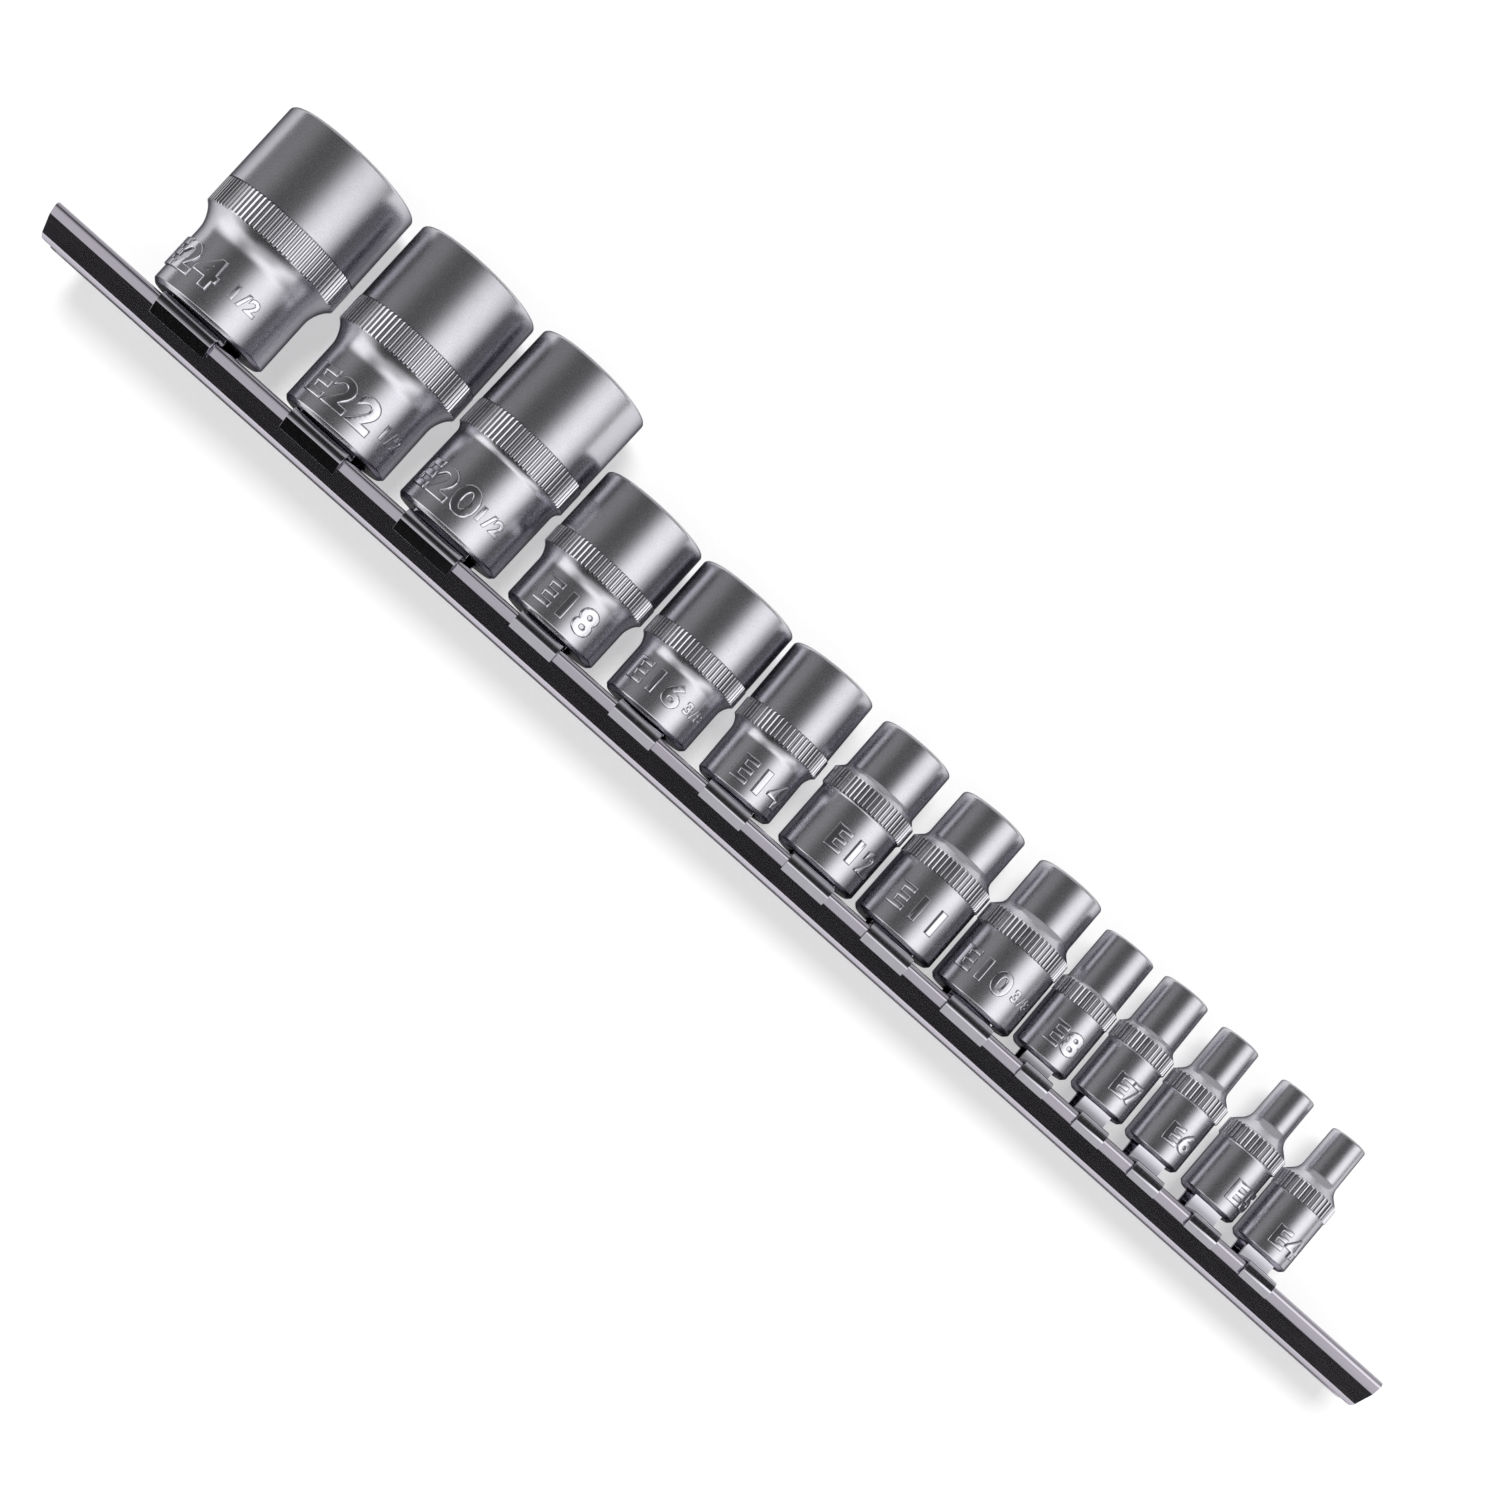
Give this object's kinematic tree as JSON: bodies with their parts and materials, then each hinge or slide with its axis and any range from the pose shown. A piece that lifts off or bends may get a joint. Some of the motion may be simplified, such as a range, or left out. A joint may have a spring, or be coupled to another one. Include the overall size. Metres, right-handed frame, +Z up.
{
  "type": "external star socket set on a clip rail",
  "caption": "Row of external-star (E-type) sockets in three drive sizes, held by sliding spring clips on a slotted steel rail, lying on its side.",
  "frame": {"origin": "centre of the bounding box in X and Y, on the surface that the set lies on (Z = 0)", "axes": "+X along the rail from the largest socket to the smallest, +Y along the sockets' axes from the rail to their mouths, +Z up from the surface that the set lies on"},
  "size_m": [0.2966, 0.0458, 0.0272],
  "materials": {
    "socket_chrome": "satin",
    "rail_chrome": "polished",
    "clip_spring_steel": "satin"
  },
  "bodies": {
    "rail": {"rail": "rail_chrome"},
    "clip_e24": {"clip_e24": "clip_spring_steel"},
    "socket_e24": {"socket_e24": "socket_chrome"},
    "clip_e22": {"clip_e22": "clip_spring_steel"},
    "socket_e22": {"socket_e22": "socket_chrome"},
    "clip_e20": {"clip_e20": "clip_spring_steel"},
    "socket_e20": {"socket_e20": "socket_chrome"},
    "clip_e18": {"clip_e18": "clip_spring_steel"},
    "socket_e18": {"socket_e18": "socket_chrome"},
    "clip_e16": {"clip_e16": "clip_spring_steel"},
    "socket_e16": {"socket_e16": "socket_chrome"},
    "clip_e14": {"clip_e14": "clip_spring_steel"},
    "socket_e14": {"socket_e14": "socket_chrome"},
    "clip_e12": {"clip_e12": "clip_spring_steel"},
    "socket_e12": {"socket_e12": "socket_chrome"},
    "clip_e11": {"clip_e11": "clip_spring_steel"},
    "socket_e11": {"socket_e11": "socket_chrome"},
    "clip_e10": {"clip_e10": "clip_spring_steel"},
    "socket_e10": {"socket_e10": "socket_chrome"},
    "clip_e8": {"clip_e8": "clip_spring_steel"},
    "socket_e8": {"socket_e8": "socket_chrome"},
    "clip_e7": {"clip_e7": "clip_spring_steel"},
    "socket_e7": {"socket_e7": "socket_chrome"},
    "clip_e6": {"clip_e6": "clip_spring_steel"},
    "socket_e6": {"socket_e6": "socket_chrome"},
    "clip_e5": {"clip_e5": "clip_spring_steel"},
    "socket_e5": {"socket_e5": "socket_chrome"},
    "clip_e4": {"clip_e4": "clip_spring_steel"},
    "socket_e4": {"socket_e4": "socket_chrome"}
  },
  "joints": [
    {"name": "clip_e24_slide", "type": "slide", "parent": "rail", "child": "clip_e24", "axis": [0.9998, 0, -0.0209], "range_m": [-0.02342, 0.00278]},
    {"name": "socket_e24_pull", "type": "slide", "parent": "clip_e24", "child": "socket_e24", "axis": [-0.0297, 0.9996, 0], "range_m": [0, 0.0111]},
    {"name": "clip_e22_slide", "type": "slide", "parent": "rail", "child": "clip_e22", "axis": [0.9998, 0, -0.0209], "range_m": [-0.00278, 0.00125]},
    {"name": "socket_e22_pull", "type": "slide", "parent": "clip_e22", "child": "socket_e22", "axis": [-0.0209, 0.9998, 0], "range_m": [0, 0.0111]},
    {"name": "clip_e20_slide", "type": "slide", "parent": "rail", "child": "clip_e20", "axis": [0.9998, 0, -0.0209], "range_m": [-0.00125, 0.00113]},
    {"name": "socket_e20_pull", "type": "slide", "parent": "clip_e20", "child": "socket_e20", "axis": [0.0035, 1, 0], "range_m": [0, 0.0107]},
    {"name": "clip_e18_slide", "type": "slide", "parent": "rail", "child": "clip_e18", "axis": [0.9998, 0, -0.0209], "range_m": [-0.00113, 0.00066]},
    {"name": "socket_e18_pull", "type": "slide", "parent": "clip_e18", "child": "socket_e18", "axis": [0, 1, 0], "range_m": [0, 0.0082]},
    {"name": "clip_e16_slide", "type": "slide", "parent": "rail", "child": "clip_e16", "axis": [0.9998, 0, -0.0209], "range_m": [-0.00066, 0.00057]},
    {"name": "socket_e16_pull", "type": "slide", "parent": "clip_e16", "child": "socket_e16", "axis": [-0.0105, 0.9999, 0], "range_m": [0, 0.0083]},
    {"name": "clip_e14_slide", "type": "slide", "parent": "rail", "child": "clip_e14", "axis": [0.9998, 0, -0.0209], "range_m": [-0.00057, 0.00104]},
    {"name": "socket_e14_pull", "type": "slide", "parent": "clip_e14", "child": "socket_e14", "axis": [-0.0314, 0.9995, 0], "range_m": [0, 0.0082]},
    {"name": "clip_e12_slide", "type": "slide", "parent": "rail", "child": "clip_e12", "axis": [0.9998, 0, -0.0209], "range_m": [-0.00104, 0.00036]},
    {"name": "socket_e12_pull", "type": "slide", "parent": "clip_e12", "child": "socket_e12", "axis": [-0.0035, 1, 0], "range_m": [0, 0.0082]},
    {"name": "clip_e11_slide", "type": "slide", "parent": "rail", "child": "clip_e11", "axis": [0.9998, 0, -0.0209], "range_m": [-0.00036, 0.00041]},
    {"name": "socket_e11_pull", "type": "slide", "parent": "clip_e11", "child": "socket_e11", "axis": [0.0035, 1, 0], "range_m": [0, 0.0081]},
    {"name": "clip_e10_slide", "type": "slide", "parent": "rail", "child": "clip_e10", "axis": [0.9998, 0, -0.0209], "range_m": [-0.00041, 0.00034]},
    {"name": "socket_e10_pull", "type": "slide", "parent": "clip_e10", "child": "socket_e10", "axis": [-0.0035, 1, 0], "range_m": [0, 0.008]},
    {"name": "clip_e8_slide", "type": "slide", "parent": "rail", "child": "clip_e8", "axis": [0.9998, 0, -0.0209], "range_m": [-0.00034, 0.00063]},
    {"name": "socket_e8_pull", "type": "slide", "parent": "clip_e8", "child": "socket_e8", "axis": [-0.0087, 1, 0], "range_m": [0, 0.0059]},
    {"name": "clip_e7_slide", "type": "slide", "parent": "rail", "child": "clip_e7", "axis": [0.9998, 0, -0.0209], "range_m": [-0.00063, 0.00068]},
    {"name": "socket_e7_pull", "type": "slide", "parent": "clip_e7", "child": "socket_e7", "axis": [-0.0105, 0.9999, 0], "range_m": [0, 0.00515]},
    {"name": "clip_e6_slide", "type": "slide", "parent": "rail", "child": "clip_e6", "axis": [0.9998, 0, -0.0209], "range_m": [-0.00068, 0.00128]},
    {"name": "socket_e6_pull", "type": "slide", "parent": "clip_e6", "child": "socket_e6", "axis": [-0.007, 1, 0], "range_m": [0, 0.00515]},
    {"name": "clip_e5_slide", "type": "slide", "parent": "rail", "child": "clip_e5", "axis": [0.9998, 0, -0.0209], "range_m": [-0.00128, 0.00062]},
    {"name": "socket_e5_pull", "type": "slide", "parent": "clip_e5", "child": "socket_e5", "axis": [0.014, 0.9999, 0], "range_m": [0, 0.0051]},
    {"name": "clip_e4_slide", "type": "slide", "parent": "rail", "child": "clip_e4", "axis": [0.9998, 0, -0.0209], "range_m": [-0.00062, 0.02441]},
    {"name": "socket_e4_pull", "type": "slide", "parent": "clip_e4", "child": "socket_e4", "axis": [0.0087, 1, 0], "range_m": [0, 0.0055]}
  ]
}
